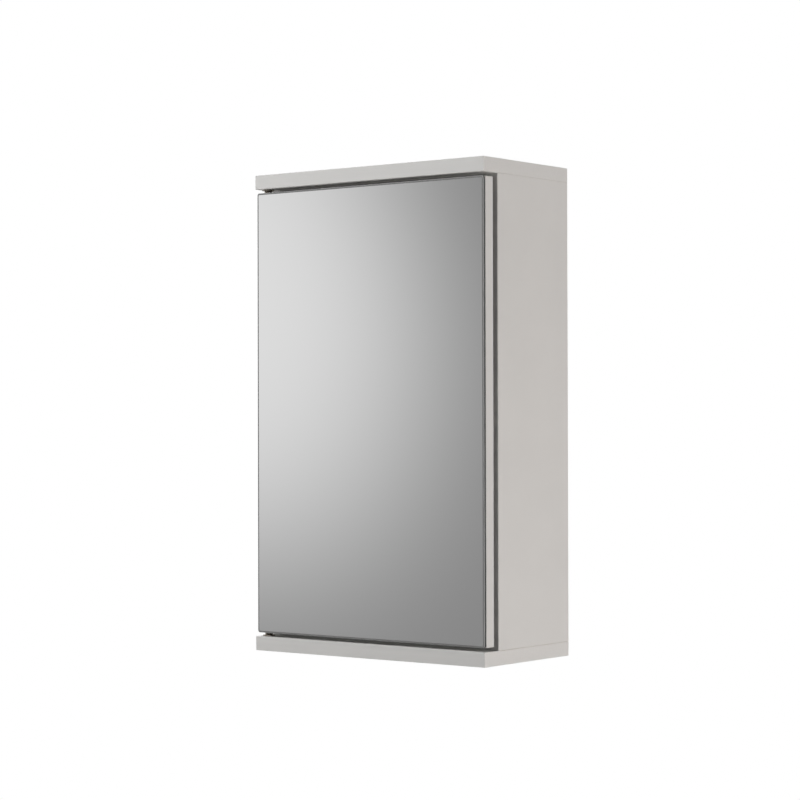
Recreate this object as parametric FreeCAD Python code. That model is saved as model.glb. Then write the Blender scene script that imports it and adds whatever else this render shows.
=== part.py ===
"""A wall-hung mirror cabinet with one pivot-hung mirror door, in millimetres.

The front faces -Y, the wall is the plane y = 0, and +Z is up. The origin lies on the wall plane,
midway between the two wall-screw holes of the hanging rail.
"""

import FreeCAD
import Part
import math
import os

V = FreeCAD.Vector

# Carcass: 15 mm melamine-faced board, the sides standing between the top and the bottom panel
WIDTH = 300.0
HEIGHT = 506.0
DEPTH = 149.0
BOARD = 15.0
EDGING = 1.0              # plastic edge band on the edges that show
EASE = 0.5                # bevel that the edge band is trimmed to
BACK = 3.0                # hardboard back
GROOVE_DEPTH = 7.0        # groove for the back in the four boards
BACK_END_PLAY = 1.0       # from the back's edge to the bottom of its groove
GROOVE_PLAY = 0.1         # each side of the back in its groove

# Hanging rail behind the back panel, and the two wall-screw holes through both
RAIL = 15.0
RAIL_HEIGHT = 60.0
WALL_HOLE_D = 6.0
WALL_HOLE_SPACING = 200.0

# Door: a mirror taped to a thin board, between the top and the bottom panel
DOOR_GAP = 4.0            # above and below the door
DOOR_INSET = 1.5          # from the cabinet's side to the door's edge
DOOR_SETBACK = 1.6        # mirror face behind the front edges of the panels
DOOR_BOARD = 13.0
MIRROR = 3.0
ARRIS = 0.5               # ground chamfer round the mirror's face
MIRROR_CORNER_R = 2.5
TAPE = 0.5
TAPE_WIDTH = 25.0
TAPE_MARGIN = 30.0        # from the board's edge to the tape
TAPE_COUNT = 3

# Pivots: collared steel pins in the panels, turning in nylon bushes in the door's ends
PIVOT_EDGE = 7.0          # door's hinge edge to the pivot axis
PIN_D = 5.0
COLLAR_D = 8.0
PIN_IN_PANEL = 11.0
PIN_IN_DOOR = 14.0
BUSH_D = 8.0
BUSH_LENGTH = 16.0
RUNNING_PLAY = 0.05       # pin to bush, on the radius
LOWER_PLAY = 0.1          # lower collar to the bush it carries
UPPER_PLAY = 0.4          # upper collar to the door
SWING_CLEARANCE = 0.3     # door's hinge edge to the side panel as it turns

# Glued corner and rail joints with fluted beech dowels
DOWEL_D = 8.0
DOWEL_LENGTH = 30.0
DOWEL_IN_FACE = 10.5      # depth in the board's face, the rest is in the other board's end
DOWEL_FLUTES = 8
DOWEL_FLUTE_DEPTH = 0.5
DOWEL_FROM_FRONT = 30.0   # side panel's front edge to the first dowel
DOWEL_FROM_BACK = 25.0    # back panel to the second dowel
RAIL_DOWEL_SPACING = 36.0
PRESS_PLAY = 0.05         # round a pressed-in piece, on the radius
HOLE_END_PLAY = 0.5       # past the end of a piece in a blind hole

# Two glass shelves on lipped steel supports
SHELF = 5.0
SHELF_SIDE_PLAY = 1.0
SHELF_FRONT_SETBACK = 6.0
SHELF_BACK_PLAY = 3.0
SHELF_CORNER = 3.0        # corners cut off
SHELF_ARRIS = 0.5
SHELF_OFFSET = 80.0       # support holes above and below mid height
SUPPORT_FROM_FRONT = 30.0  # side panel's front edge to the front supports
SUPPORT_FROM_BACK = 18.0  # back panel to the rear supports
STUD_D = 5.0
STUD_LENGTH = 8.0
SUPPORT_SHEET = 1.5
SUPPORT_WIDTH = 12.0
SUPPORT_REACH = 9.5
SUPPORT_DROP = 6.0        # back plate below the stud's axis
SUPPORT_RISE = 3.0        # top of the lip above the stud's axis
PAD = 1.0
PAD_MARGIN = 1.0

# Magnet catch on the right side panel, and its strike plate on the door
STRIKE = 1.2
STRIKE_WIDTH = 12.0
STRIKE_HEIGHT = 34.0
STRIKE_CORNER = 2.0       # corners cut off
CATCH_GAP = 0.2           # strike to the poles with the door shut
POLE_PROUD = 0.8
POLE = 2.0
MAGNET = 4.0
MAGNET_HEIGHT = 22.0
MAGNET_DEPTH = 9.0
CATCH_WALL = 2.0
CATCH_DEPTH = 14.0
CATCH_FLANGE = 2.5
CATCH_FLANGE_HEIGHT = 48.0
CATCH_FLANGE_FRONT = 1.0  # flange behind the side panel's front edge
CATCH_BEVEL = 1.0
CATCH_SLOT_LENGTH = 6.0
CATCH_SCREW_SPACING = 38.0
SCREW_D = 3.0
SCREW_CLEARANCE_D = 3.6
SCREW_LENGTH = 12.0
SCREW_HEAD_D = 6.4
SCREW_HEAD_HEIGHT = 2.2
STRIKE_SCREW_LENGTH = 10.0
STRIKE_HEAD_D = 5.6

# Planes of the carcass
X_LEFT = -WIDTH / 2
X_RIGHT = WIDTH / 2
X_INNER_LEFT = X_LEFT + BOARD
X_INNER_RIGHT = X_RIGHT - BOARD
Y_FRONT = -DEPTH
Y_BACK_REAR = -RAIL
Y_BACK_FRONT = Y_BACK_REAR - BACK
Z_CEILING = RAIL_HEIGHT / 2
Z_TOP = Z_CEILING + BOARD
Z_BOTTOM = Z_TOP - HEIGHT
Z_FLOOR = Z_BOTTOM + BOARD
Z_MID = (Z_CEILING + Z_FLOOR) / 2

# Planes of the door
X_DOOR_LEFT = X_LEFT + DOOR_INSET
X_DOOR_RIGHT = X_RIGHT - DOOR_INSET
Y_MIRROR = Y_FRONT + DOOR_SETBACK
Y_TAPE = Y_MIRROR + MIRROR
Y_DOOR_BOARD = Y_TAPE + TAPE
Y_DOOR_BACK = Y_DOOR_BOARD + DOOR_BOARD
Z_DOOR_TOP = Z_CEILING - DOOR_GAP
Z_DOOR_BOTTOM = Z_FLOOR + DOOR_GAP

# The pivot axis, and the side panels set back so that the door's hinge edge turns clear of them
X_PIVOT = X_DOOR_LEFT + PIVOT_EDGE
Y_PIVOT = Y_DOOR_BOARD + DOOR_BOARD / 2
FACE_OFFSET = Y_PIVOT - Y_MIRROR
SWING_RADIUS = max(
    math.hypot(PIVOT_EDGE, FACE_OFFSET - ARRIS),
    math.hypot(PIVOT_EDGE - ARRIS, FACE_OFFSET),
    math.hypot(PIVOT_EDGE, Y_DOOR_BACK - Y_PIVOT),
)
Y_SIDE_FRONT = Y_PIVOT + SWING_RADIUS + SWING_CLEARANCE

# Places along the depth of the side panels
DOWEL_PLACES = (Y_SIDE_FRONT + DOWEL_FROM_FRONT, Y_BACK_FRONT - DOWEL_FROM_BACK)
SUPPORT_PLACES = (Y_SIDE_FRONT + SUPPORT_FROM_FRONT, Y_BACK_FRONT - SUPPORT_FROM_BACK)
SHELF_HEIGHTS = {"upper_shelf": Z_MID + SHELF_OFFSET, "lower_shelf": Z_MID - SHELF_OFFSET}

# The two sides: the x of the inner face, and the way into the cabinet from it
LEFT = (X_INNER_LEFT, 1)
RIGHT = (X_INNER_RIGHT, -1)
SIDES = (LEFT, RIGHT)
# The two ends: the z of the inner face of the panel, and the way into the cabinet from it
UPPER = (Z_CEILING, -1)
LOWER = (Z_FLOOR, 1)
ENDS = (UPPER, LOWER)


def block(x, y, z):
    """A box between two values on each axis, in either order."""
    low = V(min(x), min(y), min(z))
    return Part.makeBox(abs(x[1] - x[0]), abs(y[1] - y[0]), abs(z[1] - z[0]), low)


def rod(start, end, diameter):
    """A round bar between two points."""
    along = end - start
    return Part.makeCylinder(diameter / 2, along.Length, start, along)


def turned(base, axis, outline):
    """A turned piece: outline gives (distance along the axis, radius) and closes on itself."""
    side = V(axis.y, axis.z, axis.x)
    points = [base + axis * along + side * radius for along, radius in outline]
    return Part.Face(Part.makePolygon(points + points[:1])).revolve(base, axis, 360)


def edges_where(shape, test):
    """The edges whose two end points both pass a test."""
    return [e for e in shape.Edges if all(test(v.Point) for v in e.Vertexes)]


def near(a, b):
    return abs(a - b) < 1e-6


def edges_along(shape, axis):
    """The straight edges that run along an axis."""
    return [e for e in shape.Edges if abs(e.tangentAt(e.FirstParameter).dot(axis)) > 0.99]


def blind_hole(mouth, axis, diameter, depth):
    """The tool for a hole that takes a pressed-in piece of this diameter and depth."""
    return rod(mouth, mouth + axis * (depth + HOLE_END_PLAY), diameter + 2 * PRESS_PLAY)


def pivot_point(z):
    return V(X_PIVOT, Y_PIVOT, z)


def side_middle(side):
    """The x of the middle of a side panel's thickness."""
    face, inward = side
    return face - inward * BOARD / 2


def carcass_panel(end):
    """Top or bottom panel: groove for the back, holes for the dowels and the pivot pin."""
    z_inner, inward = end
    out = V(0, 0, -inward)
    z = (z_inner, z_inner - inward * BOARD)
    shape = block((X_LEFT + EDGING, X_RIGHT - EDGING), (Y_FRONT + EDGING, 0), z)
    tools = [
        block(
            (X_INNER_LEFT - GROOVE_DEPTH, X_INNER_RIGHT + GROOVE_DEPTH),
            (Y_BACK_FRONT - GROOVE_PLAY, Y_BACK_REAR + GROOVE_PLAY),
            (z_inner, z_inner - inward * GROOVE_DEPTH),
        ),
        blind_hole(pivot_point(z_inner), out, PIN_D, PIN_IN_PANEL),
    ]
    for side in SIDES:
        x = side_middle(side)
        tools += [blind_hole(V(x, y, z_inner), out, DOWEL_D, DOWEL_IN_FACE) for y in DOWEL_PLACES]
    return shape.cut(tools)


def carcass_panel_edging(end):
    """Edge band on the front and the two side edges of the top or bottom panel."""
    z_inner, inward = end
    z = (z_inner, z_inner - inward * BOARD)
    front = block((X_LEFT, X_RIGHT), (Y_FRONT, Y_FRONT + EDGING), z)
    showing = [e for e in front.Edges if any(near(v.Point.y, Y_FRONT) for v in e.Vertexes)]
    strips = [front.makeChamfer(EASE, showing)]
    for x_out, x_in in ((X_LEFT, X_LEFT + EDGING), (X_RIGHT, X_RIGHT - EDGING)):
        strip = block((x_out, x_in), (Y_FRONT + EDGING, 0), z)
        showing = [e for e in edges_along(strip, V(0, 1, 0)) if near(e.Vertexes[0].Point.x, x_out)]
        strips.append(strip.makeChamfer(EASE, showing))
    return Part.makeCompound(strips)


def side_panel(side):
    """Left or right side: groove for the back, holes for dowels, shelf supports and the catch."""
    face, inward = side
    into_board = V(-inward, 0, 0)
    x_middle = side_middle(side)
    shape = block((face, face - inward * BOARD), (Y_SIDE_FRONT + EDGING, 0), (Z_FLOOR, Z_CEILING))
    tools = [
        block(
            (face, face - inward * GROOVE_DEPTH),
            (Y_BACK_FRONT - GROOVE_PLAY, Y_BACK_REAR + GROOVE_PLAY),
            (Z_FLOOR, Z_CEILING),
        )
    ]
    end_depth = DOWEL_LENGTH - DOWEL_IN_FACE
    for z_end, into_cabinet in ENDS:
        along = V(0, 0, into_cabinet)
        tools += [blind_hole(V(x_middle, y, z_end), along, DOWEL_D, end_depth) for y in DOWEL_PLACES]
    for y, z in rail_dowel_places():
        tools.append(blind_hole(V(face, y, z), into_board, DOWEL_D, DOWEL_IN_FACE))
    for y in SUPPORT_PLACES:
        for z in SHELF_HEIGHTS.values():
            tools.append(blind_hole(V(face, y, z), into_board, STUD_D, STUD_LENGTH))
    if side is RIGHT:
        depth = SCREW_LENGTH - CATCH_FLANGE
        for z in catch_screw_heights():
            tools.append(blind_hole(V(face, catch_screw_y(), z), into_board, SCREW_D, depth))
    return shape.cut(tools)


def side_panel_edging(side):
    """Edge band on the front edge of a side panel."""
    face, inward = side
    y = (Y_SIDE_FRONT, Y_SIDE_FRONT + EDGING)
    strip = block((face, face - inward * BOARD), y, (Z_FLOOR, Z_CEILING))
    showing = [e for e in edges_along(strip, V(0, 0, 1)) if near(e.Vertexes[0].Point.y, Y_SIDE_FRONT)]
    return strip.makeChamfer(EASE, showing)


def wall_hole_tools(y_from, y_to):
    places = (-WALL_HOLE_SPACING / 2, WALL_HOLE_SPACING / 2)
    return [rod(V(x, y_from, 0), V(x, y_to, 0), WALL_HOLE_D) for x in places]


def back_panel():
    """Hardboard back, held in the grooves of all four boards."""
    reach = GROOVE_DEPTH - BACK_END_PLAY
    shape = block(
        (X_INNER_LEFT - reach, X_INNER_RIGHT + reach),
        (Y_BACK_FRONT, Y_BACK_REAR),
        (Z_FLOOR - reach, Z_CEILING + reach),
    )
    return shape.cut(wall_hole_tools(Y_BACK_FRONT, Y_BACK_REAR))


def rail_dowel_places():
    """(y, z) of the two dowels at each end of the hanging rail."""
    return [(-RAIL / 2, z) for z in (-RAIL_DOWEL_SPACING / 2, RAIL_DOWEL_SPACING / 2)]


def hanging_rail():
    """Rail across the back under the top panel, screwed to the wall through its two holes."""
    shape = block((X_INNER_LEFT, X_INNER_RIGHT), (Y_BACK_REAR, 0), (Z_CEILING - RAIL_HEIGHT, Z_CEILING))
    tools = wall_hole_tools(Y_BACK_REAR, 0)
    depth = DOWEL_LENGTH - DOWEL_IN_FACE
    for face, inward in SIDES:
        for y, z in rail_dowel_places():
            tools.append(blind_hole(V(face, y, z), V(inward, 0, 0), DOWEL_D, depth))
    return shape.cut(tools)


def dowel(face_point, into_face):
    """A fluted dowel across a joint: face_point is where its axis crosses the joint."""
    up = V(into_face.y, into_face.z, into_face.x)
    across = into_face.cross(up)
    start = face_point - into_face * (DOWEL_LENGTH - DOWEL_IN_FACE)
    points = []
    for i in range(2 * DOWEL_FLUTES):
        turn = math.pi * i / DOWEL_FLUTES
        r = DOWEL_D / 2 - (DOWEL_FLUTE_DEPTH if i % 2 else 0)
        points.append(start + up * (r * math.cos(turn)) + across * (r * math.sin(turn)))
    return Part.Face(Part.makePolygon(points + points[:1])).extrude(into_face * DOWEL_LENGTH)


def corner_dowels():
    return Part.makeCompound(
        [
            dowel(V(side_middle(side), y, z_inner), V(0, 0, -inward))
            for side in SIDES
            for z_inner, inward in ENDS
            for y in DOWEL_PLACES
        ]
    )


def rail_dowels():
    return Part.makeCompound(
        [
            dowel(V(face, y, z), V(-inward, 0, 0))
            for face, inward in SIDES
            for y, z in rail_dowel_places()
        ]
    )


def shelf(z_hole):
    """Glass shelf with cut corners and ground edges, resting on its four pads."""
    bottom = z_hole + SUPPORT_RISE + PAD
    shape = block(
        (X_INNER_LEFT + SHELF_SIDE_PLAY, X_INNER_RIGHT - SHELF_SIDE_PLAY),
        (Y_SIDE_FRONT + SHELF_FRONT_SETBACK, Y_BACK_FRONT - SHELF_BACK_PLAY),
        (bottom, bottom + SHELF),
    )
    shape = shape.makeChamfer(SHELF_CORNER, edges_along(shape, V(0, 0, 1)))
    rims = [e for z in (bottom, bottom + SHELF) for e in edges_where(shape, lambda p: near(p.z, z))]
    return shape.makeChamfer(SHELF_ARRIS, rims)


def each_support():
    """Every shelf support as (side, y, z of its stud)."""
    return [(side, y, z) for z in SHELF_HEIGHTS.values() for side in SIDES for y in SUPPORT_PLACES]


def shelf_support(side, y, z):
    """Bent steel support: a back plate on the board, a lip under the shelf and a stud in the hole."""
    face, into = side
    half = SUPPORT_WIDTH / 2
    x_bend = face + into * SUPPORT_SHEET
    z_bend = z + SUPPORT_RISE - SUPPORT_SHEET
    across = (y - half, y + half)
    plate = block((face, x_bend), across, (z - SUPPORT_DROP, z + SUPPORT_RISE))
    lip = block((face, face + into * SUPPORT_REACH), across, (z_bend, z + SUPPORT_RISE))
    stud = rod(V(face, y, z), V(face - into * STUD_LENGTH, y, z), STUD_D)
    return plate.fuse([lip, stud]).removeSplitter()


def shelf_pad(side, y, z):
    """Clear pad on a support's lip, under the glass."""
    face, into = side
    half = SUPPORT_WIDTH / 2 - PAD_MARGIN
    return block(
        (face + into * PAD_MARGIN, face + into * (SUPPORT_REACH - PAD_MARGIN)),
        (y - half, y + half),
        (z + SUPPORT_RISE, z + SUPPORT_RISE + PAD),
    )


def for_each_support(make):
    return Part.makeCompound([make(*place) for place in each_support()])


def pivot_pin(end, z_door, play):
    """Collared steel pin: one end pressed in the panel, the other turning in the door's bush."""
    z_inner, inward = end
    collar = abs(z_door - z_inner) - play
    r = PIN_D / 2
    tip = collar + PIN_IN_DOOR
    outline = [
        (-PIN_IN_PANEL, 0),
        (-PIN_IN_PANEL, r),
        (0, r),
        (0, COLLAR_D / 2),
        (collar, COLLAR_D / 2),
        (collar, r),
        (tip, r),
        (tip, 0),
    ]
    return turned(pivot_point(z_inner), V(0, 0, inward), outline)


def pivot_bush(z_door, into_door):
    """Nylon bush let into the end of the door, flush with its edge."""
    bore = PIN_D / 2 + RUNNING_PLAY
    r = BUSH_D / 2
    outline = [(0, bore), (0, r), (BUSH_LENGTH, r), (BUSH_LENGTH, bore)]
    return turned(pivot_point(z_door), V(0, 0, into_door), outline)


def pivot_pins():
    return Part.makeCompound(
        [pivot_pin(UPPER, Z_DOOR_TOP, UPPER_PLAY), pivot_pin(LOWER, Z_DOOR_BOTTOM, LOWER_PLAY)]
    )


def pivot_bushes():
    return Part.makeCompound([pivot_bush(Z_DOOR_TOP, -1), pivot_bush(Z_DOOR_BOTTOM, 1)])


def bush_holes():
    return [
        blind_hole(pivot_point(Z_DOOR_TOP), V(0, 0, -1), BUSH_D, BUSH_LENGTH),
        blind_hole(pivot_point(Z_DOOR_BOTTOM), V(0, 0, 1), BUSH_D, BUSH_LENGTH),
    ]


def door_board():
    """Door board, bored for the two bushes and the strike plate's screw."""
    shape = block(
        (X_DOOR_LEFT + EDGING, X_DOOR_RIGHT - EDGING),
        (Y_DOOR_BOARD, Y_DOOR_BACK),
        (Z_DOOR_BOTTOM + EDGING, Z_DOOR_TOP - EDGING),
    )
    pilot = blind_hole(strike_point(), V(0, -1, 0), SCREW_D, STRIKE_SCREW_LENGTH - STRIKE)
    return shape.cut(bush_holes() + [pilot])


def door_edging():
    """Edge band on the door's four edges, the two long strips over the ends of the short ones."""
    y = (Y_DOOR_BOARD, Y_DOOR_BACK)
    strips = []
    for x_out, x_in in ((X_DOOR_LEFT, X_DOOR_LEFT + EDGING), (X_DOOR_RIGHT, X_DOOR_RIGHT - EDGING)):
        strip = block((x_out, x_in), y, (Z_DOOR_BOTTOM, Z_DOOR_TOP))
        strips.append(strip.makeChamfer(EASE, edges_where(strip, lambda p: near(p.x, x_out))))
    x = (X_DOOR_LEFT + EDGING, X_DOOR_RIGHT - EDGING)
    for z_out, z_in in ((Z_DOOR_TOP, Z_DOOR_TOP - EDGING), (Z_DOOR_BOTTOM, Z_DOOR_BOTTOM + EDGING)):
        strip = block(x, y, (z_out, z_in))
        showing = [e for e in edges_along(strip, V(1, 0, 0)) if near(e.Vertexes[0].Point.z, z_out)]
        strips.append(strip.makeChamfer(EASE, showing).cut(bush_holes()))
    return Part.makeCompound(strips)


def mirror_glass():
    """Silvered glass over the whole door, its corners rounded and its face edge ground."""
    shape = block((X_DOOR_LEFT, X_DOOR_RIGHT), (Y_MIRROR, Y_TAPE), (Z_DOOR_BOTTOM, Z_DOOR_TOP))
    shape = shape.makeFillet(MIRROR_CORNER_R, edges_along(shape, V(0, 1, 0)))
    return shape.makeChamfer(ARRIS, edges_where(shape, lambda p: near(p.y, Y_MIRROR)))


def mirror_tape():
    """Upright strips of double-sided tape between the mirror and the door board."""
    first = X_DOOR_LEFT + TAPE_MARGIN
    last = X_DOOR_RIGHT - TAPE_MARGIN - TAPE_WIDTH
    strips = []
    for i in range(TAPE_COUNT):
        x = first + (last - first) * i / (TAPE_COUNT - 1)
        z = (Z_DOOR_BOTTOM + TAPE_MARGIN, Z_DOOR_TOP - TAPE_MARGIN)
        strips.append(block((x, x + TAPE_WIDTH), (Y_TAPE, Y_DOOR_BOARD), z))
    return Part.makeCompound(strips)


def catch_width():
    """How far the catch stands off the side panel: two walls, two poles and the magnet."""
    return 2 * CATCH_WALL + 2 * POLE + MAGNET


def strike_point():
    """The middle of the strike plate on the door's back, in line with the catch."""
    face, inward = RIGHT
    return V(face + inward * catch_width() / 2, Y_DOOR_BACK, Z_MID)


def strike_plate():
    """Steel plate on the door's back that the magnet pulls on, with one countersunk hole."""
    middle = strike_point()
    half_width = STRIKE_WIDTH / 2
    half_height = STRIKE_HEIGHT / 2
    plate = block(
        (middle.x - half_width, middle.x + half_width),
        (Y_DOOR_BACK, Y_DOOR_BACK + STRIKE),
        (Z_MID - half_height, Z_MID + half_height),
    )
    plate = plate.makeChamfer(STRIKE_CORNER, edges_along(plate, V(0, 1, 0)))
    return plate.cut(strike_screw(PRESS_PLAY))


def strike_screw(extra=0):
    """Countersunk screw through the strike plate, grown by extra for its hole."""
    r = SCREW_D / 2 + extra
    head = STRIKE_HEAD_D / 2 + extra
    tip = STRIKE - STRIKE_SCREW_LENGTH
    outline = [(tip, 0), (tip, r), (0, r), (STRIKE, head), (STRIKE, 0)]
    return turned(strike_point(), V(0, 1, 0), outline)


def catch_front():
    """The y of the catch housing's front, behind the proud poles."""
    return Y_DOOR_BACK + STRIKE + CATCH_GAP + POLE_PROUD


def catch_flange_y():
    return (Y_SIDE_FRONT + CATCH_FLANGE_FRONT, catch_front() + CATCH_DEPTH)


def catch_screw_y():
    return sum(catch_flange_y()) / 2


def catch_screw_heights():
    return (Z_MID - CATCH_SCREW_SPACING / 2, Z_MID + CATCH_SCREW_SPACING / 2)


def catch_pocket():
    """The space for the magnet and its poles in the housing: (x range, y range, z range)."""
    face, inward = RIGHT
    y = catch_front()
    x = (face + inward * CATCH_WALL, face + inward * (catch_width() - CATCH_WALL))
    return x, (y, y + MAGNET_DEPTH), (Z_MID - MAGNET_HEIGHT / 2, Z_MID + MAGNET_HEIGHT / 2)


def catch_housing():
    """Moulded housing: a box open at the front for the magnet, on a flange with two slotted holes."""
    face, inward = RIGHT
    y = (catch_front(), catch_front() + CATCH_DEPTH)
    half = MAGNET_HEIGHT / 2 + CATCH_WALL
    box = block((face, face + inward * catch_width()), y, (Z_MID - half, Z_MID + half))
    x_out = face + inward * catch_width()
    box = box.makeChamfer(CATCH_BEVEL, edges_where(box, lambda p: near(p.x, x_out)))
    flange_y = catch_flange_y()
    half_flange = CATCH_FLANGE_HEIGHT / 2
    flange = block(
        (face, face + inward * CATCH_FLANGE),
        flange_y,
        (Z_MID - half_flange, Z_MID + half_flange),
    )
    flange = flange.makeChamfer(CATCH_BEVEL, edges_along(flange, V(1, 0, 0)))
    half_slot = (CATCH_SLOT_LENGTH - SCREW_CLEARANCE_D) / 2
    tools = [block(*catch_pocket())]
    for z in catch_screw_heights():
        middle = catch_screw_y()
        for place in (middle - half_slot, middle + half_slot):
            tools.append(rod(V(face, place, z), V(face + inward * CATCH_FLANGE, place, z), SCREW_CLEARANCE_D))
        tools.append(
            block(
                (face, face + inward * CATCH_FLANGE),
                (middle - half_slot, middle + half_slot),
                (z - SCREW_CLEARANCE_D / 2, z + SCREW_CLEARANCE_D / 2),
            )
        )
    return box.fuse(flange).cut(tools)


def catch_magnet():
    """Ferrite block between the two poles, level with the housing's front."""
    x, y, z = catch_pocket()
    middle = sum(x) / 2
    return block((middle - MAGNET / 2, middle + MAGNET / 2), y, z)


def catch_poles():
    """Two steel poles either side of the magnet, standing proud to meet the strike plate."""
    x, y, z = catch_pocket()
    middle = sum(x) / 2
    proud = (y[0] - POLE_PROUD, y[1])
    poles = []
    for way in (-1, 1):
        inner = middle + way * MAGNET / 2
        poles.append(block((inner, inner + way * POLE), proud, z))
    return Part.makeCompound(poles)


def catch_screw(z):
    """Pan-head screw through the catch's flange into the side panel."""
    face, inward = RIGHT
    r = SCREW_D / 2
    head = SCREW_HEAD_D / 2
    tip = CATCH_FLANGE - SCREW_LENGTH
    top = CATCH_FLANGE + SCREW_HEAD_HEIGHT
    outline = [(tip, 0), (tip, r), (CATCH_FLANGE, r), (CATCH_FLANGE, head), (top, head), (top, 0)]
    return turned(V(face, catch_screw_y(), z), V(inward, 0, 0), outline)


def catch_screws():
    return Part.makeCompound([catch_screw(z) for z in catch_screw_heights()])


NODES = {
    "top_panel": carcass_panel(UPPER),
    "top_panel_edging": carcass_panel_edging(UPPER),
    "bottom_panel": carcass_panel(LOWER),
    "bottom_panel_edging": carcass_panel_edging(LOWER),
    "left_side_panel": side_panel(LEFT),
    "left_side_edging": side_panel_edging(LEFT),
    "right_side_panel": side_panel(RIGHT),
    "right_side_edging": side_panel_edging(RIGHT),
    "back_panel": back_panel(),
    "hanging_rail": hanging_rail(),
    "rail_dowels": rail_dowels(),
    "corner_dowels": corner_dowels(),
    "shelf_supports": for_each_support(shelf_support),
    "shelf_pads": for_each_support(shelf_pad),
    "pivot_pins": pivot_pins(),
    "catch_housing": catch_housing(),
    "catch_magnet": catch_magnet(),
    "catch_poles": catch_poles(),
    "catch_screws": catch_screws(),
    "door_board": door_board(),
    "door_edging": door_edging(),
    "mirror_glass": mirror_glass(),
    "mirror_tape": mirror_tape(),
    "pivot_bushes": pivot_bushes(),
    "strike_plate": strike_plate(),
    "strike_screw": strike_screw(),
}
for shelf_name, hole_height in SHELF_HEIGHTS.items():
    NODES[shelf_name] = shelf(hole_height)

os.makedirs("parts", exist_ok=True)
for node_name, node_shape in NODES.items():
    solids = node_shape.Solids
    if not all(solid.isValid() and solid.Volume > 0 for solid in solids):
        raise ValueError(f"{node_name} has a solid that isn't sound")
    Part.makeCompound(solids).exportStep(f"parts/{node_name}.step")
    print(f"{node_name}: {len(solids)} solid(s), {sum(s.Volume for s in solids):.1f} mm3")
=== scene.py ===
"""Looks of a wall-hung mirror cabinet: its finishes, its small hardware and a plain studio.

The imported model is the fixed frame, in metres. The front faces -Y, the wall is the plane y = 0, and +Z is up.
One operator sets the stage and each of the others finishes a group of pieces. main() runs them in order.
"""

import math

import bmesh
import bpy
from bpy.props import FloatProperty, FloatVectorProperty, IntProperty, PointerProperty
from mathutils import Euler, Matrix, Vector


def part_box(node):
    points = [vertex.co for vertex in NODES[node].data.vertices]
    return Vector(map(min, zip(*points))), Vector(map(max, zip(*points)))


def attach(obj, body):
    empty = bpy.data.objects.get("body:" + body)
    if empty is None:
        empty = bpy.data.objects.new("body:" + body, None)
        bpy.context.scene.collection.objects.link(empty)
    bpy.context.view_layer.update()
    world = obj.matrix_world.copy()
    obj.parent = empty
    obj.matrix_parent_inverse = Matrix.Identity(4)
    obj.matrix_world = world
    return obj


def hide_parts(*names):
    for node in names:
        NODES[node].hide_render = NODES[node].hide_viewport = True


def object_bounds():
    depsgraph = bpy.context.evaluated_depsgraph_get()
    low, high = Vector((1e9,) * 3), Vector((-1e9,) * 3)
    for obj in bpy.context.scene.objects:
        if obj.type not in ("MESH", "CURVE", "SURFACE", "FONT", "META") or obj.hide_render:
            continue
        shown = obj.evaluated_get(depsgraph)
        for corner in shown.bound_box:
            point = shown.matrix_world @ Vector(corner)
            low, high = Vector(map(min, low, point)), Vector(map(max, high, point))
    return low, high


bl_info = {
    "name": "Mirror Cabinet",
    "version": (1, 0, 0),
    "blender": (4, 5, 0),
    "location": "View3D > Sidebar > Cabinet",
    "description": "Finishes, small hardware and studio for a wall-hung mirror cabinet",
    "category": "Object",
}

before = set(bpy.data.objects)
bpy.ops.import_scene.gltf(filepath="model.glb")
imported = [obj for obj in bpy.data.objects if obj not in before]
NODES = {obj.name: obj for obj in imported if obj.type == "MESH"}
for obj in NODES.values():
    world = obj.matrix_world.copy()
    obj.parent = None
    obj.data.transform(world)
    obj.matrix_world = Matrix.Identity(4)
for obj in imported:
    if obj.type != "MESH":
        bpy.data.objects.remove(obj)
CAD_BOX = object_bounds()

MM = 0.001

# Points of a mesh nearer than this are one point
SPECK = 0.001 * MM

# Faces that turn by less than FLAT are one flat face, and edges that turn by more than SHARP are sharp
FLAT = math.radians(1)
SHARP = math.radians(35)

CARCASS = "carcass"
DOOR = "door"

WHITE = (1, 1, 1, 1)

# The colour sockets of Blender's mix node, which has a set of sockets for each kind of data
MIX_A = 6
MIX_B = 7
MIX_RESULT = 2

# Radians that Blender's wave texture turns through in a metre at a scale of 1
WAVE_RADIANS = 20

# The part of a face's normal that lies along an axis: more than this where the face is square on to it,
# mostly on to it, or slants to it
SQUARE_ON = 0.95
MOSTLY_ON = 0.5
ASLANT = 0.3

# The lamps round the cabinet: place, width and height in metres
LAMPS = {
    "key": ((-0.5, -1.55, 1.05), 0.9, 0.9),
    "left": ((-1.9, -0.75, -0.55), 1.0, 1.0),
    "fill": ((2.2, -0.09, -0.5), 0.06, 0.9),
    "top": ((0.2, -0.6, 2.2), 1.6, 1.6),
    "rear": ((-1.6, 1.6, 0.5), 1.6, 1.6),
}

# The side of the floor in metres
FLOOR_SIDE = 60

# The side of the card in metres, and the share of its half side from which it thins out,
# so that it is clear before it meets the floor
CARD_SIDE = 1.75
CARD_THINS_FROM = 0.67

# The card's fall-off: its lit place and how far the light spreads, in metres on the card, its lean,
# and a power that makes its top flatter
CARD_LIT_AT = (0.44, 0.28)
CARD_SPREAD = (0.51, 0.68)
CARD_LEAN = math.radians(-27)
CARD_PLATEAU = 1.72

# Depth of the grooves that hold the back panel
BACK_GROOVE = 7 * MM

# The pale room that polished pieces show: its tones low down and high up, and the Z parts of the directions
# between which it goes from one to the other
ROOM_TONES = (0.5, 1.0)
ROOM_HEIGHTS = (-0.25, 0.3)

# Rings of a screw's mesh in one pitch of its thread
THREAD_STEPS = 8

# Shares of a pan head: its straight rim in its height, and its flat top in its width
PAN_RIM = 0.35
PAN_FLAT = 0.55


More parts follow.
